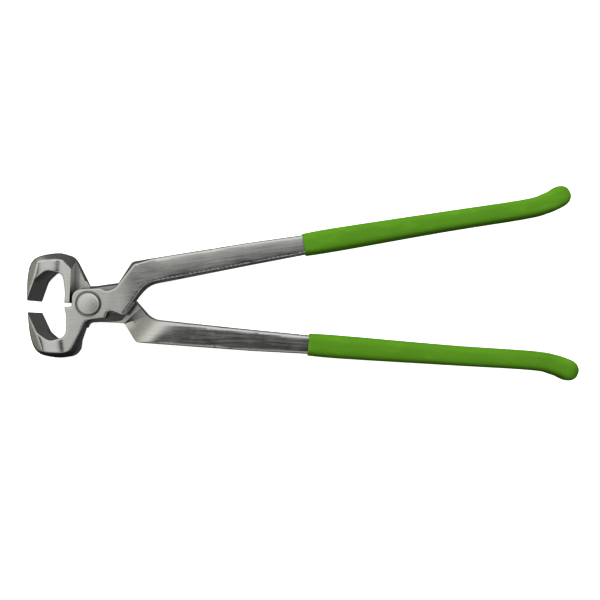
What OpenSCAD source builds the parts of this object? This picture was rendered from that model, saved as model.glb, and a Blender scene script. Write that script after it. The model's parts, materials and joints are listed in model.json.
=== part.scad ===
// Hoof nipper: two identical forged halves crossing in a riveted lap joint, with dipped grips.
// X runs along the tool from the jaws to the grips, Y across it, Z through its thickness.
// The tool lies flat on z = 0, and the origin is under the middle of its bounding box.

/* [Opening] */
// Angle between the two halves as the tool lies, in degrees
open_angle = 10.6; // [6:0.1:50]

/* [Jaws] */
// Distance from the pivot to the cutting edges
jaw_reach = 38; // [36:0.5:40]
// Length of the cutting edges, across the tool's thickness
blade_w = 28.4; // [26:0.2:30]
// Depth of each jaw, from the closing line to its back
jaw_depth = 32.2; // [31:0.1:34]
// Gap between the closed cutting edges
blade_gap = 0.2; // [0.2:0.1:1]
// Fall of the bevel along the back of the jaw
back_bevel = 3.4; // [1:0.1:5]
// Tilt of the ground facet at each end of a blade, in degrees
facet_tilt = 20; // [5:1:30]

/* [Joint] */
// Thickness of the joint, both laps together
joint_t = 20; // [18:0.5:24]
// Gap between the two lap faces
lap_gap = 0.2; // [0.1:0.05:0.4]
// Thickness of the wider foot of each neck, next to the lap face
flange_t = 4; // [2:0.5:7]
// Distance from the pivot to the step wall behind the jaw
step_x = 12.3; // [12:0.1:13]
// Rise of the ramp from the lap face to the rein, per millimetre
ramp_slope = 0.5; // [0.3:0.05:1]

/* [Rivet] */
// Shank diameter
shank_d = 10; // [8:0.5:11]
// Head diameter
head_d = 15; // [12.5:0.5:16]
// Height of the head above the joint face
head_h = 2.2; // [1:0.1:3]
// Diameter of the spot face under the head
spot_d = 17.1; // [15.5:0.1:18]
// Depth of the spot face
spot_t = 0.8; // [0.4:0.1:1.5]
// Diameter of the closed end of the rivet
tail_d = 13; // [11.5:0.5:14]
// Depth of the countersink that the closed end fills
tail_t = 1.6; // [0.8:0.1:2.5]
// Radial clearance of the shank in the front half
run_fit = 0.05; // [0.02:0.01:0.1]

/* [Reins] */
// Thickness of the rein where it leaves the joint
shoulder_t = 16.4; // [14:0.2:18]
// Thickness of the rein at the start of the grip
rein_t = 10.6; // [9:0.2:12]
// Thickness of the rein at its end
tang_t = 9.8; // [8:0.2:11]

/* [Grips] */
// Place of the open end of the grip, from the pivot
grip_start = 143.5; // [130:0.5:160]
// Thickness of the dipped coat
coat = 1.25; // [1:0.05:2]

/* [Hidden] */

pivot = [-138.8, 0, blade_w / 2];
steel = [0.62, 0.62, 0.6];
green = [0.33, 0.62, 0.14];
arc_step = 7;
cut = 60;
blade_z = blade_w / 2;
face_z = joint_t / 2;
edge_y = -blade_gap / 2;
back_y = -jaw_depth;

// The rein's stations along the tool: distance from the pivot, middle, and width.
stations = [
    [45, 16, 15.4],
    [106, 18.5, 13.7],
    [grip_start - 1, 19.5, 12.1],
    [165, 20.2, 12.6],
    [235, 22, 10.7],
    [288, 22.9, 10.2],
    [303, 25, 10.8],
    [311, 27.7, 11.4]
];
rein_end = [317.6, 29.4];

// Corners of an outline are [x, y, radius]: the radius rounds the corner, inside or outside.
function unit(v) = v / norm(v);
function xy(p) = [p.x, p.y];
function turn(a) = a > 180 ? a - 360 : a < -180 ? a + 360 : a;
function rounded_corner(a, b, c) =
    let (r = b[2], u = unit(xy(a) - xy(b)), v = unit(xy(c) - xy(b)))
    let (half = acos(u * v) / 2, tangent = r / tan(half))
    let (middle = xy(b) + unit(u + v) * r / sin(half))
    let (from = xy(b) + u * tangent - middle, to = xy(b) + v * tangent - middle)
    let (start = atan2(from.y, from.x), sweep = turn(atan2(to.y, to.x) - start))
    let (n = ceil(abs(sweep) / arc_step))
    [for (i = [0 : n]) middle + r * [cos(start + sweep * i / n), sin(start + sweep * i / n)]];
function rounded(c) =
    let (n = len(c))
    [for (i = [0 : n - 1]) each
        c[i][2] == 0 ? [xy(c[i])] : rounded_corner(c[(i + n - 1) % n], c[i], c[(i + 1) % n])];

// Direction of the rein at a station, and the edge of the rein on one side (+1 or -1) there.
function along(i) = unit(xy(stations[min(i + 1, len(stations) - 1)]) - xy(stations[max(i - 1, 0)]));
function edge(i, side) =
    xy(stations[i]) + [-along(i).y, along(i).x] * side * stations[i][2] / 2;
function edge_corner(i, side) = [edge(i, side).x, edge(i, side).y, i < 5 ? 0 : i < 7 ? 12 : 4];

last = len(stations) - 1;
// Outside of the jaw, from the cutting edge round the back to the neck.
jaw_back = [
    [-jaw_reach, edge_y, 0],
    [-jaw_reach - 1, -12, 30],
    [-jaw_reach - 0.3, 5.2 + back_y, 11],
    [-22, back_y - 0.4, 14],
    [-14, back_y + 1, 6.5]
];
// Inside of the jaw, from the heel through the throat to the cutting edge.
jaw_throat = [
    [-11, edge_y, 0.6],
    [-15.6, edge_y, 0],
    [-15.3, -6, 20],
    [-17.4, -18.7, 5],
    [-27.4, -20.2, 4.5],
    [-33.8, -13.9, 8]
];
rein_sides = [
    [38, 7.8, 14],
    for (i = [0 : last]) edge_corner(i, -1),
    [rein_end.x, rein_end.y, 4],
    for (i = [last : -1 : 0]) edge_corner(i, 1),
    [31, 23.3, 4.5]
];
// Outline of the outer face, with the scallops either side of the boss.
face_outline = rounded(concat(
    jaw_back,
    [[-3.5, -10.2, 5], [9.2, -10.3, 0.8], [12.2, -5.4, 3.2], [20.6, -10.2, 1]],
    rein_sides,
    [[18.5, 8, 6], [12.4, 6.4, 4], [8.8, 9, 1.5], [-9.4, 10.6, 6]],
    jaw_throat
));
// Outline of the wider foot next to the lap face.
foot_outline = rounded(concat(
    jaw_back,
    [[-2.6, -11.8, 3], [17, -13.4, 2]],
    rein_sides,
    [[21.5, 11.6, 4], [-9.4, 11.4, 8.5]],
    jaw_throat
));

// Upper edge of the side view: blade, hollow ramp, joint face, then the tapering rein.
side_edge = [
    [-cut, blade_z, 0],
    [-32, blade_z, 0],
    [-29, face_z + 0.4, 8],
    [-22, face_z, 4],
    [26, face_z, 20],
    [45, shoulder_t / 2, 30],
    [95, shoulder_t / 4 + rein_t / 4 - 0.5, 0],
    [grip_start, rein_t / 2, 0],
    [rein_end.x + cut, tang_t / 2, 0]
];
side_view = rounded(concat(
    side_edge,
    [for (i = [len(side_edge) - 1 : -1 : 0]) [side_edge[i].x, -side_edge[i].y, side_edge[i][2]]]
));

// The rein side of the lap recess is a line just clear of the other half's neck.
ramp_from = [20.6, 11.6];
ramp_to = [31.3, 1.2];
ramp_angle = atan2(ramp_to.y - ramp_from.y, ramp_to.x - ramp_from.x) + 90;

module slab(outline, z0, z1) {
    translate([0, 0, z0])
        linear_extrude(z1 - z0)
            polygon(outline);
}

// Removes the corner of the blade outside the line from its tip to the back of the jaw.
module blade_facet() {
    translate([-jaw_reach, 0, blade_z])
        rotate([0, 0, 195])
            rotate([0, facet_tilt, 0])
                translate([0, -cut / 2, 0])
                    cube([cut / 2, cut, cut / 2]);
}

// Everything between the bevels that run along the back of the jaw, on both faces.
module between_bevels() {
    top = 2 * cut;
    rise = top - face_z + back_bevel;
    rotate([90, 0, 90])
        translate([0, 0, -cut])
            linear_extrude(10 * cut)
                polygon([
                    [back_y, face_z - back_bevel],
                    [back_y + rise, top],
                    [back_y + rise, -top],
                    [back_y, back_bevel - face_z]
                ]);
}

// Space for the other half's neck: a step wall behind the jaw, a ramp towards the rein.
module lap_recess() {
    translate([0, 0, lap_gap / 2])
        difference() {
            translate([-step_x, -cut, -cut])
                cube([2 * cut, 2 * cut, cut]);
            translate([ramp_from.x, ramp_from.y, 0])
                rotate([0, 0, ramp_angle])
                    rotate([0, atan(ramp_slope), 0])
                        translate([0, -2 * cut, 0])
                            cube([4 * cut, 4 * cut, 3 * cut]);
        }
}

// One forging in its closed position, pivot at the origin, lap face at z = 0, jaw towards -Y.
module half_blank() {
    difference() {
        intersection() {
            union() {
                slab(face_outline, -blade_z, blade_z);
                slab(foot_outline, lap_gap / 2, flange_t);
            }
            rotate([90, 0, 0])
                translate([0, 0, -cut])
                    linear_extrude(2 * cut)
                        polygon(side_view);
            between_bevels();
        }
        blade_facet();
        mirror([0, 0, 1])
            blade_facet();
        lap_recess();
    }
}

// The front half turns on the shank, and its spot face takes the rivet's head.
module front_forging() {
    difference() {
        half_blank();
        translate([0, 0, -cut])
            cylinder(d = shank_d + 2 * run_fit, h = 2 * cut, $fn = 96);
        translate([0, 0, face_z - spot_t])
            cylinder(d = spot_d, h = cut, $fn = 96);
    }
}

// The rear half holds the shank, and its countersink takes the closed end.
module rear_forging() {
    difference() {
        half_blank();
        translate([0, 0, -cut])
            cylinder(d = shank_d, h = 2 * cut, $fn = 96);
        translate([0, 0, face_z - tail_t])
            cylinder(d = tail_d, h = cut, $fn = 96);
    }
}

module rivet() {
    edge_r = 1.4;
    seat_z = face_z - spot_t + lap_gap / 2;
    rotate_extrude($fn = 96)
        polygon(concat(
            [[0, -face_z], [tail_d / 2, -face_z], [tail_d / 2, tail_t - face_z]],
            [[shank_d / 2, tail_t - face_z], [shank_d / 2, seat_z], [head_d / 2, seat_z]],
            [for (a = [0 : 15 : 75])
                [head_d / 2 - edge_r, face_z + head_h - edge_r - 0.4] + edge_r * [cos(a), sin(a)]],
            [[head_d / 4, face_z + head_h - 0.1], [0, face_z + head_h]]
        ));
}

// Half the thickness of the rein at a distance from the pivot.
function rein_half(x) =
    let (k = (x - grip_start) / (rein_end.x + cut - grip_start))
    (rein_t + (tang_t - rein_t) * k) / 2;

// The grip's rings follow the rein from its start, one station at a time, then close round its end.
grip_first = 2;
ring_sides = 28;
// Low enough that the coat covers the steel's corners all round.
squareness = 0.45;
function curve(p, q, r, s, t) =
    0.5 * (2 * q + (r - p) * t + (2 * p - 5 * q + 4 * r - s) * t * t + (3 * q - p - 3 * r + s) * t * t * t);
function at(i, t) = curve(
    stations[max(i - 1, grip_first)], stations[i], stations[min(i + 1, last)],
    stations[min(i + 2, last)], t);
spans = 4;
path = concat(
    [for (i = [grip_first : last - 1], k = [0 : spans - 1]) at(i, k / spans)],
    [stations[last]]
);
end_dir = unit([6.6, 2.6]);
function heading(i) =
    i == len(path) - 1 ? end_dir : unit(xy(path[i + 1]) - xy(path[max(i - 1, 0)]));
function bend(c) = sign(c) * pow(abs(c), squareness);
function ring(middle, dir, w, h) = [
    for (k = [0 : ring_sides - 1])
        let (a = 360 * k / ring_sides)
        [middle.x - dir.y * w * bend(cos(a)), middle.y + dir.x * w * bend(cos(a)), h * bend(sin(a))]
];
tip_steps = 5;
tip_len = 8.2;
tip_rings = [
    for (j = [1 : tip_steps])
        let (a = 84 * j / tip_steps, p = path[len(path) - 1])
        ring(xy(p) + end_dir * tip_len * sin(a), end_dir,
            (p[2] / 2 + coat) * cos(a), (rein_half(p.x) + coat) * cos(a))
];
grip_rings = concat(
    [for (i = [0 : len(path) - 1])
        ring(xy(path[i]), heading(i), path[i][2] / 2 + coat, rein_half(path[i].x) + coat)],
    tip_rings
);

module grip_body() {
    n = ring_sides;
    count = len(grip_rings);
    polyhedron(
        points = [for (r = grip_rings) each r],
        faces = concat(
            [[for (k = [0 : n - 1]) k]],
            [for (i = [0 : count - 2], k = [0 : n - 1])
                [i * n + k, (i + 1) * n + k, (i + 1) * n + (k + 1) % n, i * n + (k + 1) % n]],
            [[for (k = [n - 1 : -1 : 0]) (count - 1) * n + k]]
        ));
}

module grip() {
    difference() {
        grip_body();
        half_blank();
    }
}

module in_front() {
    translate(pivot)
        rotate([0, 0, open_angle / 2])
            children();
}

module in_rear() {
    translate(pivot)
        rotate([0, 0, -open_angle / 2])
            rotate([180, 0, 0])
                children();
}

module front_half() {
    color(steel)
        in_front()
            front_forging();
}

module rear_half() {
    color(steel * 0.9)
        in_rear()
            rear_forging();
}

module pivot_rivet() {
    color(steel * 1.1)
        translate(pivot)
            rivet();
}

module front_grip() {
    color(green)
        in_front()
            grip();
}

module rear_grip() {
    color(green * 0.9)
        in_rear()
            grip();
}

front_half();
rear_half();
pivot_rivet();
front_grip();
rear_grip();
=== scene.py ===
"""Hoof nipper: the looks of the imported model, in metres and in the model's own frame.

Each half is shaped in its own closed position and then placed: the pivot at the origin, the jaw
towards -Y, the rein towards +X, the lap face on z = 0. The rear half is the front half turned over.
"""

import json
import math

import bmesh
import bpy
import numpy as np
from mathutils import Matrix, Vector, geometry


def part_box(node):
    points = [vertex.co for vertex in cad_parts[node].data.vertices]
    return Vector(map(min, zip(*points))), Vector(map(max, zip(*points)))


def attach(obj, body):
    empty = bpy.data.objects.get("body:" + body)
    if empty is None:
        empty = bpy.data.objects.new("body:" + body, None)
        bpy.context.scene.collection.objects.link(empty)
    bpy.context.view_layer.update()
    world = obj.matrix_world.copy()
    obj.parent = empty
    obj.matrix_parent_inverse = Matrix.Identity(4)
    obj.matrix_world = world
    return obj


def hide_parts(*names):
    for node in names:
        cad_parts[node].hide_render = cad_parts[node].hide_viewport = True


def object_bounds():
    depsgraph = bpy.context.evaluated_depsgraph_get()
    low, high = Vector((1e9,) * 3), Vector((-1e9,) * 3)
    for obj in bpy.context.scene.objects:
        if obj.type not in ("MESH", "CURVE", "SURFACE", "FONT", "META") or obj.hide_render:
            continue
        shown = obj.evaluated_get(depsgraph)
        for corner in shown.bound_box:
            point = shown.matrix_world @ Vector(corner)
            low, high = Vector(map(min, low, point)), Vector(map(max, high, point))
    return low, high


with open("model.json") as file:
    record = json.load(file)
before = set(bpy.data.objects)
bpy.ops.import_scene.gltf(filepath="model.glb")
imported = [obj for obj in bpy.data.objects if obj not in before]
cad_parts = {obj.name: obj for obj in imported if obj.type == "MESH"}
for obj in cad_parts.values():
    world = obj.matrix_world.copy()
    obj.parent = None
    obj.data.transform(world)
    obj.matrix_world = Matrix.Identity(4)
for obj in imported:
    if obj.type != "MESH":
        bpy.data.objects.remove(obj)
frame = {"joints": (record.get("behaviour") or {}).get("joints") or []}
CAD_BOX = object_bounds()

MM = 0.001
HINGE = frame["joints"][0]
PIVOT = Vector(HINGE["pos_m"])
OPENING = math.radians(-HINGE["range_deg"][0])

IN_FRONT = Matrix.Translation(PIVOT) @ Matrix.Rotation(OPENING / 2, 4, "Z")
IN_REAR = (
    Matrix.Translation(PIVOT)
    @ Matrix.Rotation(-OPENING / 2, 4, "Z")
    @ Matrix.Rotation(math.pi, 4, "X")
)


# ---------------------------------------------------------------- small helpers

def finished(bm, name):
    mesh = bpy.data.meshes.new(name)
    bm.to_mesh(mesh)
    bm.free()
    return mesh


def add_object(name, mesh, placement, material, body, slot, *nodes):
    """A new piece, placed, painted, riding on its body and standing for its CAD nodes."""
    own = mesh.attributes.new("own_place", "FLOAT_VECTOR", "POINT")
    own.data.foreach_set("vector", [c for v in mesh.vertices for c in v.co])
    mesh.transform(placement)
    obj = bpy.data.objects.new(name, mesh)
    bpy.context.scene.collection.objects.link(obj)
    mesh.materials.clear()
    mesh.materials.append(material)
    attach(obj, body)
    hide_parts(*nodes)
    return obj


def smooth_all(mesh, sharp_deg):
    mesh.polygons.foreach_set("use_smooth", [True] * len(mesh.polygons))
    mesh.set_sharp_from_angle(angle=math.radians(sharp_deg))


# ---------------------------------------------------------------- materials

class Nodes:
    """Short ways to add and join shader nodes."""

    def __init__(self, name):
        self.material = bpy.data.materials.new(name)
        self.material.use_nodes = True
        self.tree = self.material.node_tree
        self.shader = self.tree.nodes["Principled BSDF"]
        self.place = self.add("ShaderNodeAttribute", attribute_name="own_place").outputs["Vector"]

    def add(self, kind, **settings):
        node = self.tree.nodes.new(kind)
        for key, value in settings.items():
            setattr(node, key, value)
        return node

    def join(self, out, socket):
        self.tree.links.new(out, socket)

    def noise(self, scale, detail=3.0, rough=0.5, stretch=(1, 1, 1), distort=0.0):
        mapping = self.add("ShaderNodeMapping")
        mapping.inputs["Scale"].default_value = stretch
        self.join(self.place, mapping.inputs["Vector"])
        noise = self.add("ShaderNodeTexNoise")
        noise.inputs["Scale"].default_value = scale
        noise.inputs["Detail"].default_value = detail
        noise.inputs["Roughness"].default_value = rough
        noise.inputs["Distortion"].default_value = distort
        self.join(mapping.outputs[0], noise.inputs["Vector"])
        return noise.outputs["Fac"]

    def remap(self, value, low, high, to_low, to_high):
        node = self.add("ShaderNodeMapRange")
        node.inputs["From Min"].default_value = low
        node.inputs["From Max"].default_value = high
        node.inputs["To Min"].default_value = to_low
        node.inputs["To Max"].default_value = to_high
        self.join(value, node.inputs["Value"])
        return node.outputs["Result"]

    def math(self, operation, a, b):
        node = self.add("ShaderNodeMath", operation=operation)
        for socket, value in zip(node.inputs, (a, b)):
            if isinstance(value, (int, float)):
                socket.default_value = value
            else:
                self.join(value, socket)
        return node.outputs[0]

    def mix(self, factor, a, b):
        node = self.add("ShaderNodeMix", data_type="RGBA")
        self.join(factor, node.inputs["Factor"])
        for socket, value in ((node.inputs[6], a), (node.inputs[7], b)):
            if isinstance(value, tuple):
                socket.default_value = (*value, 1)
            else:
                self.join(value, socket)
        return node.outputs[2]

    def bump(self, height, strength, distance, below=None):
        node = self.add("ShaderNodeBump")
        node.inputs["Strength"].default_value = strength
        node.inputs["Distance"].default_value = distance
        self.join(height, node.inputs["Height"])
        if below is not None:
            self.join(below, node.inputs["Normal"])
        return node.outputs["Normal"]

    def corner_occlusion(self, distance):
        """Ambient occlusion, 1 on open surfaces and 0 deep in a corner, used to paint shade into
        corners.
        """
        node = self.add("ShaderNodeAmbientOcclusion", samples=8)
        node.inputs["Distance"].default_value = distance
        return node.outputs["AO"]


def steel(name, dark, light, rough, grain_dir):
    """Ground and tumbled steel: fine grinding lines, cloudy polish, and painted shade that darkens the
    corners.
    """
    n = Nodes(name)
    lines = n.noise(900, detail=4, rough=0.65, stretch=grain_dir)
    coarse_lines = n.noise(260, detail=3, rough=0.6, stretch=grain_dir)
    clouds = n.noise(38, detail=4, rough=0.55, distort=0.4)
    specks = n.noise(1500, detail=2)
    tone = n.mix(n.remap(clouds, 0.3, 0.7, 0, 1), dark, light)
    streak = n.remap(lines, 0.3, 0.7, 0.9, 1.06)
    # Painted shade: ambient occlusion darkens the base colour in corners, creases and recesses, where
    # shade falls; the grinding streaks multiplied in with it are the steel's own grain.
    corner = n.remap(n.corner_occlusion(0.009), 0.2, 0.9, 0.22, 1.0)
    streaks_and_painted_shade = n.math("MULTIPLY", streak, corner)
    dim = n.add("ShaderNodeVectorMath", operation="SCALE")
    n.join(tone, dim.inputs[0])
    n.join(streaks_and_painted_shade, dim.inputs["Scale"])
    n.join(dim.outputs[0], n.shader.inputs["Base Color"])
    n.shader.inputs["Metallic"].default_value = 1.0
    polish = n.math("ADD", n.remap(clouds, 0.3, 0.7, rough - 0.03, rough + 0.05),
                    n.remap(lines, 0.3, 0.7, -0.04, 0.05))
    n.join(polish, n.shader.inputs["Roughness"])
    low = n.bump(n.math("ADD", coarse_lines, n.math("MULTIPLY", specks, 0.3)), 0.05, 0.0002)
    n.join(n.bump(lines, 0.09, 0.00012, low), n.shader.inputs["Normal"])
    return n.material


def dipped_vinyl(name):
    """Semi-gloss dipped vinyl: slow colour drift, slight waviness, fine orange peel."""
    n = Nodes(name)
    drift = n.noise(22, detail=3, distort=0.3)
    haze = n.noise(160, detail=4, rough=0.6, stretch=(0.3, 1, 1))
    peel = n.noise(700, detail=2)
    waves = n.noise(45, detail=2, stretch=(0.5, 1, 1))
    colour = n.mix(n.remap(drift, 0.3, 0.7, 0, 1), (0.066, 0.208, 0.003), (0.080, 0.243, 0.005))
    scuffed = n.mix(n.remap(haze, 0.52, 0.78, 0, 0.35), colour, (0.15, 0.40, 0.02))
    n.join(scuffed, n.shader.inputs["Base Color"])
    n.join(n.remap(haze, 0.3, 0.7, 0.4, 0.52), n.shader.inputs["Roughness"])
    n.shader.inputs["Specular IOR Level"].default_value = 0.22
    n.shader.inputs["Subsurface Weight"].default_value = 0.06
    n.shader.inputs["Subsurface Scale"].default_value = 0.0015
    n.shader.inputs["Subsurface Radius"].default_value = (0.4, 1.0, 0.2)
    low = n.bump(waves, 0.25, 0.0008)
    n.join(n.bump(peel, 0.06, 0.0001, low), n.shader.inputs["Normal"])
    return n.material


FORGING = steel("ground_steel", (0.50, 0.505, 0.485), (0.60, 0.605, 0.585), 0.17, (0.06, 1, 1))
RIVET = steel("rivet_steel", (0.55, 0.555, 0.54), (0.64, 0.645, 0.63), 0.27, (1, 1, 0.2))
VINYL = dipped_vinyl("green_grip")


# ---------------------------------------------------------------- the two forgings

# Everything in this section is in millimetres, in the half's own closed position.
JAW_REACH = 38.0
JAW_DEPTH = 32.2
BLADE_HALF = 14.2
FACE_HALF = 10.0
LAP_Z = 0.1
FOOT_TOP = 4.0
STEP_X = -12.3
FACET_TILT = math.radians(20)
FACET_TURN = math.radians(195)
RAMP_FROM = Vector((20.6, 11.6))
RAMP_TO = Vector((31.3, 1.2))
RAMP_SLOPE = 0.5
RAMP_RUN = 24.0
RAMP_MELT = 1.4
# How far up the ramp the melting starts, and the little it leaves for the lap cut to take.
MELT_FROM = 4.0
MELT_CLEAR = 0.03
# Well outside the forging, for cutters.
FAR = 70
DRILL_FAR = 30
RAMP_AWAY = Vector((RAMP_FROM.y - RAMP_TO.y, RAMP_TO.x - RAMP_FROM.x)).normalized()

# The rein: distance from the pivot, middle, width.
REIN = [
    (45, 16, 15.4), (106, 18.5, 13.7), (142.5, 19.5, 12.1), (165, 20.2, 12.6),
    (235, 22.0, 10.7), (288, 22.9, 10.2), (303, 25.0, 10.8), (311, 27.7, 11.4),
]
REIN_RADII = [0.01, 0.01, 0.01, 0.01, 0.01, 12, 12, 4]
GRIP_FIRST = 2
REIN_END = (317.6, 29.4)
# Half thickness of the rein, by distance from the pivot.
REIN_X = [26, 31, 38, 45, 60, 95, 143.5, 377.6]
REIN_HALF = [10.0, 9.62, 8.85, 8.15, 7.55, 6.25, 5.3, 4.9]

# Where the jaw starts to thicken towards the blade, and over what length.
HOLLOW_FROM, HOLLOW_RUN = -19, 16
# The rein's thickness is eased over this much either side of a bend.
BEND_EASE = 6
CROWN = 0.1
EDGE_SOFTNESS = 0.1
RIM_WIDTH, RIM_DROP = 0.15, 0.12

# Bevels as (width, fall) on the front face, then on the back face.
FINE = (0.35, 0.3, 0.35, 0.3)
BLADE = (0.2, 0.15, 0.2, 0.15)
JAW_SIDE = (0.8, 0.7, 1.6, 1.2)
JAW_CORNER = (2.6, 2.4, 3.4, 1.9)
JAW_BACK = (3.4, 3.4, 4.6, 3.8)
JAW_HEEL = (3.0, 3.6, 4.4, 6.0)
REIN_INSIDE = (0.7, 0.6, 0.9, 0.7)
REIN_OUTSIDE = (0.55, 0.5, 0.55, 0.5)
TANG = (1.3, 1.1, 1.3, 1.1)
SHOULDER = (2.4, 2.0, 0.9, 0.9)


def rein_edge(i, side):
    """The rein's edge at a station, on one side, +1 or -1."""
    a = Vector(REIN[max(i - 1, 0)][:2])
    b = Vector(REIN[min(i + 1, len(REIN) - 1)][:2])
    along = (b - a).normalized()
    place = Vector(REIN[i][:2]) + Vector((-along.y, along.x)) * side * REIN[i][2] / 2
    return (place.x, place.y, REIN_RADII[i])


def outline_corners():
    """Corners of the outer face: x, y, radius, bevels. It runs from the cutting edge, round the
    back of the jaw, out along the inside of the rein and back through the throat."""
    back = -JAW_DEPTH
    count = len(REIN)
    inside = [(*rein_edge(i, -1), TANG if i > GRIP_FIRST else REIN_INSIDE) for i in range(count)]
    outside = [
        (*rein_edge(i, 1), TANG if i > GRIP_FIRST else REIN_OUTSIDE) for i in reversed(range(count))
    ]
    return [
        (-JAW_REACH, -0.1, 0.01, BLADE), (-JAW_REACH - 1, -12, 30, JAW_SIDE),
        (-JAW_REACH - 0.3, back + 5.2, 11, JAW_CORNER), (-22, back - 0.4, 14, JAW_BACK),
        (-14, back + 1, 6.5, JAW_HEEL), (-3.5, -10.2, 5, FINE), (9.2, -10.3, 0.8, FINE),
        (12.2, -5.4, 3.2, FINE), (20.6, -10.2, 1, FINE), (38, 7.8, 14, REIN_INSIDE),
        *inside, (*REIN_END, 4, REIN_OUTSIDE), *outside,
        (31, 23.3, 4.5, SHOULDER), (18.5, 8, 6, FINE), (12.4, 6.4, 4, FINE), (8.8, 9, 1.5, FINE),
        (-9.4, 10.6, 6, FINE), (-11, -0.1, 0.6, FINE), (-15.6, -0.1, 0.01, FINE),
        (-15.3, -6, 20, FINE), (-17.4, -18.7, 5, FINE), (-27.4, -20.2, 4.5, FINE),
        (-33.8, -13.9, 8, FINE),
    ]


FOOT_CORNERS = [
    (-12.5, -26.5, 0.01), (-2.6, -11.8, 3), (17, -13.4, 2), (24, -5.9, 0.01), (26, 8, 0.01),
    (24, 14, 0.01), (21.3, 11.5, 4), (-9.4, 11.4, 8.5), (-10.7, 0.5, 0.01), (-9.5, -5, 0.01),
]
FOOT_SLOPES = [((0, -13.2, 0.9), (0.08, -1, 1.5)), ((0, 11.4, 1.6), (0, 1, 0.6))]
# Edges bent by more than this many degrees stay sharp.
FORGING_SHARP, RIVET_SHARP, SLEEVE_SHARP = 32, 40, 50


def rounded(corners, arc_step=5):
    """Corners with their radii drawn as arcs: a list of (x, y, bevels or None)."""
    points = []
    count = len(corners)
    for i, corner in enumerate(corners):
        a, b, c = (Vector(corners[j % count][:2]) for j in (i - 1, i, i + 1))
        u, v = (a - b).normalized(), (c - b).normalized()
        half = math.acos(max(-1, min(1, u.dot(v)))) / 2
        radius = corner[2]
        middle = b + (u + v).normalized() * radius / math.sin(half)
        start, end = b + u * radius / math.tan(half) - middle, b + v * radius / math.tan(half) - middle
        first = math.atan2(start.y, start.x)
        sweep = (math.atan2(end.y, end.x) - first + math.pi) % (2 * math.pi) - math.pi
        steps = max(1, math.ceil(abs(math.degrees(sweep)) / arc_step)) if radius > 0.1 else 0
        bevels = corner[3] if len(corner) > 3 else None
        for k in range(steps + 1):
            turn = first + sweep * (k / steps if steps else 0.5)
            spot = middle + Vector((math.cos(turn), math.sin(turn))) * radius
            points.append((spot.x, spot.y, bevels))
    return points


def dense_outline():
    """The outline with long stretches divided: arrays of places and of bevels."""
    points = rounded(outline_corners())
    places, bevels = [], []
    for (ax, ay, av), (bx, by, bv) in zip(points, points[1:] + points[:1]):
        length = math.hypot(bx - ax, by - ay)
        step = 0.7 if min(ax, bx) < 42 else 3.0
        pieces = max(1, math.ceil(length / step))
        for k in range(pieces):
            t = k / pieces
            places.append((ax + (bx - ax) * t, ay + (by - ay) * t))
            bevels.append([p + (q - p) * t for p, q in zip(av, bv)])
    places, bevels = np.array(places), np.array(bevels)
    even = np.array([1, 4, 6, 4, 1]) / 16
    on_back = np.clip((-14 - places[:, 1]) / 5, 0, 1) * (places[:, 0] < -5)
    on_back *= 1 - np.exp(-((places[:, 0] + 24) ** 2 + (places[:, 1] + 18) ** 2) / 40)
    for _ in range(20):
        calm = sum(w * np.roll(places, k - 2, axis=0) for k, w in enumerate(even))
        places += (calm - places) * on_back[:, None]
        bevels = sum(w * np.roll(bevels, k - 2, axis=0) for k, w in enumerate(even))
    return places, bevels


def nearest_on(places, bevels, spots):
    """For each spot: its distance from the outline, and the bevels of the nearest place on it."""
    a, b = places, np.roll(places, -1, axis=0)
    va, vb = bevels, np.roll(bevels, -1, axis=0)
    run = b - a
    distance = np.empty(len(spots))
    found = np.empty((len(spots), bevels.shape[1]))
    for i, spot in enumerate(spots):
        t = np.clip(((spot - a) * run).sum(1) / (run * run).sum(1), 0, 1)
        gap = np.hypot(*(a + run * t[:, None] - spot).T)
        j = int(gap.argmin())
        distance[i] = gap[j]
        found[i] = va[j] + (vb[j] - va[j]) * t[j]
    return distance, found


def soft_max0(value, k):
    """max(value, 0) with its bend rounded over about k."""
    return k * np.logaddexp(0, value / k)


def rein_half(x):
    """Half thickness of the rein, its bends eased."""
    shifts = [BEND_EASE * k / 2 for k in (-2, -1, 0, 1, 2)]
    return np.mean([np.interp(x + d, REIN_X, REIN_HALF) for d in shifts], axis=0)


def ramp_run(x, y):
    """Distance up the ramp from the edge of the flat lap."""
    return (x - RAMP_FROM.x) * RAMP_AWAY.x + (y - RAMP_FROM.y) * RAMP_AWAY.y


def melted(height, x, y):
    """The back face, eased into the ramp so that they meet without a crease."""
    run = ramp_run(x, y)
    depth = RAMP_SLOPE * run - LAP_Z + MELT_CLEAR
    return np.where(run > MELT_FROM, height - soft_max0(height - depth, RAMP_MELT), height)


def face_height(x, y, distance, width, fall):
    """Height of a face above the lap plane: profile, blade facet, slight crown, edge bevel."""
    hollow = np.clip((HOLLOW_FROM - x) / HOLLOW_RUN, 0, 1)
    height = FACE_HALF + (BLADE_HALF - FACE_HALF) * hollow ** 2 * (3 - 2 * hollow)
    height = np.where(x > REIN_X[0] - BEND_EASE, rein_half(x), height)
    middle = np.interp(x, [s[0] for s in REIN], [s[1] for s in REIN])
    half = np.interp(x, [s[0] for s in REIN], [s[2] / 2 for s in REIN])
    on_rein = np.clip((x - 36) / 14, 0, 1)
    height = height - CROWN * on_rein * ((y - middle) / half) ** 2
    height = height - soft_max0(fall * (1 - distance / width), EDGE_SOFTNESS)
    beyond = (x + JAW_REACH) * math.cos(FACET_TURN) + y * math.sin(FACET_TURN)
    facet = BLADE_HALF - math.tan(FACET_TILT) * beyond
    height = height - soft_max0(height - np.where(beyond > -1, facet, 99), EDGE_SOFTNESS)
    return height - RIM_DROP * np.clip(1 - distance / RIM_WIDTH, 0, 1)


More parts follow.
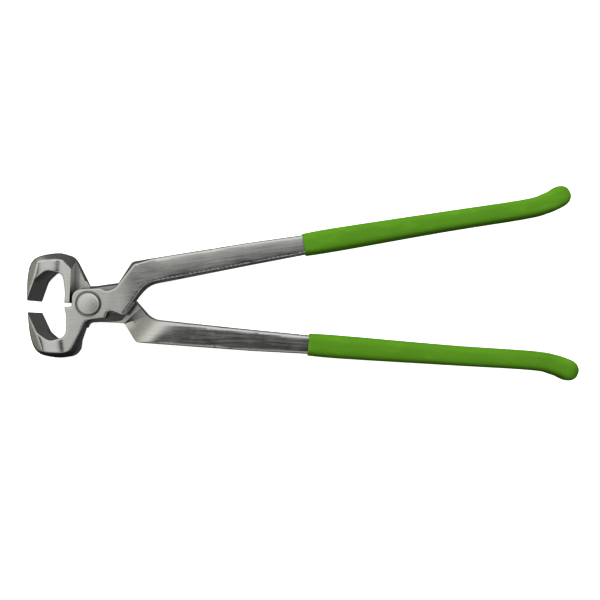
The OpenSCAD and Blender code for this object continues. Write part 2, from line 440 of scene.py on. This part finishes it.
def plate_mesh():
    """The whole forging before its lap is cut: outline, bevelled faces and side walls."""
    places, bevels = dense_outline()
    count = len(places)
    tangent = np.roll(places, -1, axis=0) - np.roll(places, 1, axis=0)
    inward = np.stack([-tangent[:, 1], tangent[:, 0]], 1) / np.hypot(*tangent.T)[:, None]
    rows = []
    for column in (0, 2):
        width = bevels[:, column]
        for part in (0.5, 0.9, 1.1):
            rows.append(places + inward * (width * part)[:, None])
    rows.append(places + inward * RIM_WIDTH)
    grid = [(x, y) for x in np.arange(-39, 46, 0.9) for y in np.arange(-33, 25, 0.9)]
    grid += [(x, y) for x in np.arange(46, 318, 3.0) for y in np.arange(8, 34, 1.3)]
    spots = np.vstack(rows + [np.array(grid)])
    inside = np.zeros(len(spots), bool)
    for a, b in zip(places, np.roll(places, -1, axis=0)):
        crosses = (a[1] > spots[:, 1]) != (b[1] > spots[:, 1])
        if crosses.any():
            at = a[0] + (spots[:, 1] - a[1]) * (b[0] - a[0]) / ((b[1] - a[1]) or 1e-9)
            inside ^= crosses & (spots[:, 0] < at)
    spots = spots[inside]
    distance, _ = nearest_on(places, bevels, spots)
    spots = spots[distance > 0.12]
    everything = [Vector(p) for p in np.vstack([places, spots])]
    flat, _, triangles, *_ = geometry.delaunay_2d_cdt(
        everything, [], [list(range(count))], 1, 1e-4)
    flat = np.array([tuple(p) for p in flat])
    distance, near = nearest_on(places, bevels, flat)
    on_edge = distance < 1e-3
    bm = bmesh.new()
    sheets = []
    for sign, column in ((1, 0), (-1, 2)):
        z = face_height(flat[:, 0], flat[:, 1], distance, near[:, column], near[:, column + 1])
        if sign < 0:
            z = melted(z, flat[:, 0], flat[:, 1])
        sheets.append([bm.verts.new((x, y, sign * h)) for (x, y), h in zip(flat, z)])
    borders = {}
    for a, b, c in triangles:
        bm.faces.new((sheets[0][a], sheets[0][b], sheets[0][c]))
        bm.faces.new((sheets[1][c], sheets[1][b], sheets[1][a]))
        for pair in ((a, b), (b, c), (c, a)):
            key = tuple(sorted(pair))
            borders[key] = None if key in borders else pair
    for pair in borders.values():
        if pair and on_edge[pair[0]] and on_edge[pair[1]]:
            a, b = pair
            bm.faces.new((sheets[0][b], sheets[0][a], sheets[1][a], sheets[1][b]))
    for v in [v for v in bm.verts if not v.link_faces]:
        bm.verts.remove(v)
    bmesh.ops.recalc_face_normals(bm, faces=bm.faces)
    return finished(bm, "plate")


def prism(name, points, low, high, matrix=Matrix.Identity(4)):
    """A closed upright prism on an outline, then moved by a matrix."""
    bm = bmesh.new()
    bottom = [bm.verts.new((p[0], p[1], low)) for p in points]
    top = [bm.verts.new((p[0], p[1], high)) for p in points]
    bm.faces.new(list(reversed(bottom)))
    bm.faces.new(top)
    for i in range(len(points)):
        j = (i + 1) % len(points)
        bm.faces.new((bottom[i], bottom[j], top[j], top[i]))
    bmesh.ops.transform(bm, matrix=matrix, verts=bm.verts)
    bmesh.ops.recalc_face_normals(bm, faces=bm.faces)
    return finished(bm, name)


def sliced(mesh, planes, **cleared):
    """The mesh cut by planes given as (place, normal), with the cuts closed."""
    bm = bmesh.new()
    bm.from_mesh(mesh)
    for place, normal in planes:
        cut = bmesh.ops.bisect_plane(bm, geom=bm.verts[:] + bm.edges[:] + bm.faces[:],
                                     plane_co=place, plane_no=normal, **cleared)
        rim = [g for g in cut["geom_cut"] if isinstance(g, bmesh.types.BMEdge)]
        bmesh.ops.holes_fill(bm, edges=rim)
    bmesh.ops.recalc_face_normals(bm, faces=bm.faces)
    bm.to_mesh(mesh)
    bm.free()
    return mesh


def lap_cutter():
    """Room for the other half's neck: a step wall, the flat lap and the ramp up to the rein."""
    deep = -40
    ramp_end = (RAMP_RUN, LAP_Z - RAMP_SLOPE * RAMP_RUN)
    profile = [(-FAR, LAP_Z), (0, LAP_Z), ramp_end, (RAMP_RUN, deep), (-FAR, deep)]
    along = (RAMP_TO - RAMP_FROM).normalized()
    axes = Matrix(((RAMP_AWAY.x, 0, along.x, RAMP_FROM.x), (RAMP_AWAY.y, 0, along.y, RAMP_FROM.y),
                   (0, 1, 0, 0), (0, 0, 0, 1)))
    mesh = prism("lap", profile, -FAR, FAR + 10, axes)
    return sliced(mesh, [((STEP_X, 0, 0), (1, 0, 0))], clear_inner=True)


def drill(name, radius, low, high, sides=96):
    circle = [2 * math.pi * k / sides for k in range(sides)]
    return prism(name, [(radius * math.cos(a), radius * math.sin(a)) for a in circle], low, high)


def combined(mesh, steps):
    """The mesh after a list of (operation, other mesh) booleans."""
    scene = bpy.context.scene.collection
    base = bpy.data.objects.new("work", mesh)
    scene.objects.link(base)
    others = []
    for operation, other in steps:
        tool = bpy.data.objects.new("tool", other)
        scene.objects.link(tool)
        others.append(tool)
        modifier = base.modifiers.new("cut", "BOOLEAN")
        modifier.operation = operation
        modifier.object = tool
        modifier.solver = "EXACT"
    bpy.context.view_layer.update()
    result = bpy.data.meshes.new_from_object(
        base.evaluated_get(bpy.context.evaluated_depsgraph_get()))
    for obj in (base, *others):
        bpy.data.objects.remove(obj)
    return result


def foot_mesh():
    """The wider foot of the neck next to the lap, its two long sides sloping in."""
    mesh = prism("foot", rounded(FOOT_CORNERS), LAP_Z - 0.5, FOOT_TOP)
    return sliced(mesh, FOOT_SLOPES, clear_outer=True)


def forging_mesh(name, extra_cuts):
    foot = foot_mesh()
    steps = [("UNION", foot), ("DIFFERENCE", lap_cutter())]
    steps += [("DIFFERENCE", tool) for tool in extra_cuts]
    mesh = combined(plate_mesh(), steps)
    mesh.name = name
    mesh.transform(Matrix.Scale(MM, 4))
    bm = bmesh.new()
    bm.from_mesh(mesh)
    bmesh.ops.remove_doubles(bm, verts=bm.verts, dist=1e-6)
    bmesh.ops.dissolve_degenerate(bm, edges=bm.edges, dist=1e-6)
    bm.to_mesh(mesh)
    bm.free()
    smooth_all(mesh, FORGING_SHARP)
    return mesh


BORE = drill("bore", 5.0, -DRILL_FAR, DRILL_FAR)
LOOSE_BORE = drill("loose_bore", 5.05, -DRILL_FAR, DRILL_FAR)
SPOT_FACE = drill("spot_face", 8.55, FACE_HALF - 0.8, DRILL_FAR)
COUNTERSINK = drill("countersink", 6.5, FACE_HALF - 1.6, DRILL_FAR)

add_object("front_forging", forging_mesh("front_forging", [LOOSE_BORE, SPOT_FACE]), IN_FRONT,
           FORGING, "front", "ground_steel", "front_half")
add_object("rear_forging", forging_mesh("rear_forging", [BORE, COUNTERSINK]), IN_REAR,
           FORGING, "rear", "ground_steel", "rear_half")


# ---------------------------------------------------------------- the rivet

def lathe(name, profile, sides=96):
    """A closed turned solid from (radius, z) points, the first and last on the axis."""
    bm = bmesh.new()
    rings = []
    for radius, z in profile[1:-1]:
        turn = [2 * math.pi * k / sides for k in range(sides)]
        rings.append([bm.verts.new((radius * math.cos(a), radius * math.sin(a), z)) for a in turn])
    for ring, after in zip(rings, rings[1:]):
        for k in range(sides):
            j = (k + 1) % sides
            bm.faces.new((ring[k], ring[j], after[j], after[k]))
    for ring, (_, z), flip in ((rings[0], profile[0], True), (rings[-1], profile[-1], False)):
        pole = bm.verts.new((0, 0, z))
        for k in range(sides):
            j = (k + 1) % sides
            bm.faces.new((ring[j], ring[k], pole) if flip else (ring[k], ring[j], pole))
    return finished(bm, name)


def rivet_profile():
    """Closed end, shank and domed head, on the sizes of the CAD rivet."""
    low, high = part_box("pivot_rivet")
    bottom, top = low.z - PIVOT.z, high.z - PIVOT.z
    head_r = (high.x - low.x) / 2
    seat = top - 2.9 * MM
    shoulder = top - 1.62 * MM
    rim_r = 1.35 * MM
    rim = [
        (head_r - rim_r + rim_r * math.cos(a), shoulder + rim_r * 0.95 * math.sin(a))
        for a in (math.radians(15 * k) for k in range(6))
    ]
    crown_z = rim[-1][1]
    crown_r = rim[-1][0]
    crown = [
        (crown_r * c, crown_z + (top - crown_z) * (1 - c * c)) for c in (0.85, 0.7, 0.5, 0.3, 0.12)
    ]
    return [
        (0, bottom), (6.3 * MM, bottom), (6.46 * MM, bottom + 0.14 * MM),
        (6.5 * MM, bottom + 0.3 * MM), (6.5 * MM, bottom + 1.6 * MM), (5 * MM, bottom + 1.6 * MM),
        (5 * MM, seat), (head_r - 0.3 * MM, seat), (head_r, seat + 0.3 * MM),
        *rim, *crown, (0, top),
    ]


rivet_mesh = lathe("rivet", rivet_profile())
smooth_all(rivet_mesh, RIVET_SHARP)
add_object("rivet", rivet_mesh, Matrix.Translation(PIVOT), RIVET, "rear", "rivet_steel",
           "pivot_rivet")


# ---------------------------------------------------------------- the grips

RING_SIDES = 64
SQUARENESS = 0.6
# Half width plus half height, as shares, where the steel's corner is cut off. 2 is uncut.
CORNER_CUT = 1.79
COAT = 1.25 * MM
LINER_GAP = 0.03 * MM
TIP_LENGTH = 8.2 * MM
THICK_FROM, THICK_TO = (143.5 * MM, 10.6 * MM), (377.6 * MM, 9.8 * MM)


def rein_half_thickness(x):
    k = (x - THICK_FROM[0]) / (THICK_TO[0] - THICK_FROM[0])
    return (THICK_FROM[1] + (THICK_TO[1] - THICK_FROM[1]) * k) / 2


def rein_path(spans=10):
    """Places along the rein under the grip, on a smooth curve: (x, y, width)."""
    stations = [Vector(s) * MM for s in REIN[GRIP_FIRST:]]
    ends = [stations[0]] + stations + [stations[-1]]
    path = []
    for p, q, r, s in zip(ends, ends[1:], ends[2:], ends[3:]):
        for k in range(spans):
            t = k / spans
            path.append(0.5 * (2 * q + (r - p) * t + (2 * p - 5 * q + 4 * r - s) * t * t
                               + (3 * q - p - 3 * r + s) * t ** 3))
    path.append(stations[-1])
    return path


def ring(middle, heading, half_w, half_h, square):
    """One loop round the rein: rounded, or a rectangle with its corners cut where square is True."""
    across = Vector((-heading.y, heading.x, 0))
    points = []
    for k in range(RING_SIDES):
        a = 2 * math.pi * k / RING_SIDES
        c, s = math.cos(a), math.sin(a)
        if square:
            reach = max(abs(c), abs(s), (abs(c) + abs(s)) / CORNER_CUT)
            c, s = c / reach, s / reach
        else:
            c = math.copysign(abs(c) ** SQUARENESS, c)
            s = math.copysign(abs(s) ** SQUARENESS, s)
        points.append(middle + across * (half_w * c) + Vector((0, 0, half_h * s)))
    return points


def grip_rings():
    path = rein_path()
    flat = [Vector((p.x, p.y, 0)) for p in path]
    headings = [(b - a).normalized() for a, b in zip(flat, flat[1:])]
    headings.append(Vector((6.6, 2.6, 0)).normalized())

    def loop(i, coat, square=False, shift=0.0):
        half_h = rein_half_thickness(path[i].x) + coat
        middle = flat[i] + headings[i] * shift
        return ring(middle, headings[i], path[i].z / 2 + coat, half_h, square)

    rings = [loop(i, LINER_GAP, True) for i in range(len(path) - 1, -1, -1)]
    # A soft rolled lip at the open end.
    for a in (20, 45, 70):
        turn = math.radians(a)
        lip = COAT * (1 - math.cos(turn))
        rings.append(loop(0, LINER_GAP + lip * 0.9, False, -0.55 * MM * math.sin(turn)))
    rings.append(loop(0, COAT * 0.8, False, -0.5 * MM))
    rings.append(loop(0, COAT, False, -0.12 * MM))
    rings += [loop(i, COAT) for i in range(1, len(path))]
    end, heading = path[-1], headings[-1]
    for k in range(1, 12):
        a = math.radians(7.5 * k)
        half_w = (end.z / 2 + COAT) * math.cos(a)
        half_h = (rein_half_thickness(end.x) + COAT) * math.cos(a)
        rings.append(ring(flat[-1] + heading * TIP_LENGTH * math.sin(a), heading, half_w, half_h,
                          False))
    return rings


def grip_mesh(name):
    bm = bmesh.new()
    loops = [[bm.verts.new(p) for p in points] for points in grip_rings()]
    for near, far in zip(loops, loops[1:]):
        for k in range(RING_SIDES):
            j = (k + 1) % RING_SIDES
            bm.faces.new((near[k], far[k], far[j], near[j]))
    bm.faces.new(loops[0])
    bm.faces.new(list(reversed(loops[-1])))
    bmesh.ops.recalc_face_normals(bm, faces=bm.faces)
    mesh = finished(bm, name)
    smooth_all(mesh, SLEEVE_SHARP)
    return mesh


add_object("front_sleeve", grip_mesh("front_sleeve"), IN_FRONT, VINYL, "front", "green_grip",
           "front_grip")
add_object("rear_sleeve", grip_mesh("rear_sleeve"), IN_REAR, VINYL, "rear", "green_grip",
           "rear_grip")


# ---------------------------------------------------------------- floor, light, camera

# Brightness of the studio by height, from straight down, -1, to straight up, 1.
SKY = [
    (-1.0, 0.14), (-0.1, 0.13), (0.2, 0.15), (0.5, 0.62), (0.76, 1.3), (0.88, 1.5),
    (0.945, 1.55), (0.963, 1.15), (0.978, 0.85), (0.9865, 0.36), (0.992, 0.05), (1.0, 0.0),
]
# The dark patch above is a little towards the front, where the photographer stands.
SKY_AXIS = (0.0, -0.07, 0.9975)
SKY_BASE, SKY_BEHIND, SKY_RIGHT = 0.58, 0.5, 0.02
SKY_STRENGTH = 1.0


def make_floor():
    size = 6.0
    bm = bmesh.new()
    bmesh.ops.create_grid(bm, x_segments=1, y_segments=1, size=size)
    mesh = finished(bm, "floor")
    floor = bpy.data.objects.new("floor", mesh)
    bpy.context.scene.collection.objects.link(floor)
    floor.location.z = CAD_BOX[0].z
    material = bpy.data.materials.new("pale_floor")
    material.use_nodes = True
    shader = material.node_tree.nodes["Principled BSDF"]
    shader.inputs["Base Color"].default_value = (0.9, 0.9, 0.9, 1)
    shader.inputs["Roughness"].default_value = 0.9
    shader.inputs["Emission Color"].default_value = (1, 1, 1, 1)
    shader.inputs["Emission Strength"].default_value = 0.88
    mesh.materials.append(material)
    floor.visible_glossy = False
    floor.visible_diffuse = False


def area_light(name, place, size, power, aim=(0, 0, 0.01)):
    data = bpy.data.lights.new(name, "AREA")
    data.shape = "RECTANGLE"
    data.size, data.size_y = size
    data.energy = power
    light = bpy.data.objects.new(name, data)
    light.location = place
    direction = Vector(aim) - Vector(place)
    light.rotation_euler = direction.to_track_quat("-Z", "Y").to_euler()
    light.visible_glossy = False
    bpy.context.scene.collection.objects.link(light)


def make_world():
    """A soft studio: a broad pale ring of light overhead, brighter behind the tool and warmer to
    its left, dark straight above where the camera hangs, and dim round the horizon and below."""
    world = bpy.data.worlds.new("studio")
    bpy.context.scene.world = world
    world.use_nodes = True
    nodes, links = world.node_tree.nodes, world.node_tree.links
    coords = nodes.new("ShaderNodeTexCoord")
    split = nodes.new("ShaderNodeSeparateXYZ")
    links.new(coords.outputs["Generated"], split.inputs[0])

    def calc(operation, a, b):
        node = nodes.new("ShaderNodeMath")
        node.operation = operation
        for socket, value in zip(node.inputs, (a, b)):
            if isinstance(value, (int, float)):
                socket.default_value = value
            else:
                links.new(value, socket)
        return node.outputs[0]

    upward = nodes.new("ShaderNodeVectorMath")
    upward.operation = "DOT_PRODUCT"
    links.new(coords.outputs["Generated"], upward.inputs[0])
    upward.inputs[1].default_value = SKY_AXIS
    height = calc("MULTIPLY", calc("ADD", upward.outputs["Value"], 1), 0.5)
    ramp = nodes.new("ShaderNodeValToRGB")
    links.new(height, ramp.inputs["Fac"])
    stops = ramp.color_ramp.elements
    while len(stops) > 1:
        stops.remove(stops[-1])
    for k, (z, level) in enumerate(SKY):
        stop = stops[0] if k == 0 else stops.new((z + 1) / 2)
        stop.position = (z + 1) / 2
        stop.color = (level, level, level, 1)
    lean = calc("ADD", calc("MULTIPLY", split.outputs["Y"], SKY_BEHIND),
                calc("MULTIPLY", split.outputs["X"], SKY_RIGHT))
    side = calc("MAXIMUM", calc("ADD", lean, SKY_BASE), 0.04)
    warm = nodes.new("ShaderNodeMix")
    warm.data_type = "RGBA"
    warm.inputs[6].default_value = (1.0, 1.0, 1.0, 1)
    warm.inputs[7].default_value = (1.0, 0.985, 0.84, 1)
    links.new(calc("MAXIMUM", calc("MULTIPLY", split.outputs["X"], -1), 0), warm.inputs["Factor"])
    tint = nodes.new("ShaderNodeVectorMath")
    tint.operation = "SCALE"
    links.new(warm.outputs[2], tint.inputs[0])
    links.new(calc("MULTIPLY", ramp.outputs["Color"], side), tint.inputs["Scale"])
    links.new(tint.outputs[0], nodes["Background"].inputs["Color"])
    nodes["Background"].inputs["Strength"].default_value = SKY_STRENGTH


def make_backdrop():
    """A pale dome that only the camera sees, so that every view has the same plain background."""
    bm = bmesh.new()
    bmesh.ops.create_icosphere(bm, subdivisions=4, radius=8)
    mesh = finished(bm, "backdrop")
    dome = bpy.data.objects.new("backdrop", mesh)
    bpy.context.scene.collection.objects.link(dome)
    material = bpy.data.materials.new("pale_backdrop")
    material.use_nodes = True
    shader = material.node_tree.nodes["Principled BSDF"]
    shader.inputs["Base Color"].default_value = (0, 0, 0, 1)
    shader.inputs["Emission Color"].default_value = (0.97, 0.97, 0.97, 1)
    shader.inputs["Emission Strength"].default_value = 1.0
    mesh.materials.append(material)
    dome.visible_glossy = False
    dome.visible_diffuse = False
    dome.visible_transmission = False
    dome.visible_shadow = False


def make_camera():
    """Straight above the tool, as the photo was taken, and close enough for its perspective."""
    data = bpy.data.cameras.new("camera")
    data.lens = 44.46
    data.shift_x = 0.0033
    data.shift_y = 0.0417
    camera = bpy.data.objects.new("camera", data)
    camera.location = (-0.0053, -0.0195, 0.4987)
    camera.rotation_euler = (0, 0, math.radians(-2.54))
    bpy.context.scene.collection.objects.link(camera)
    bpy.context.scene.camera = camera


make_floor()
make_backdrop()
make_world()
area_light("key", (-0.15, 0.95, 0.7), (1.0, 0.4), 16)
make_camera()
bpy.context.scene.view_settings.view_transform = "Standard"
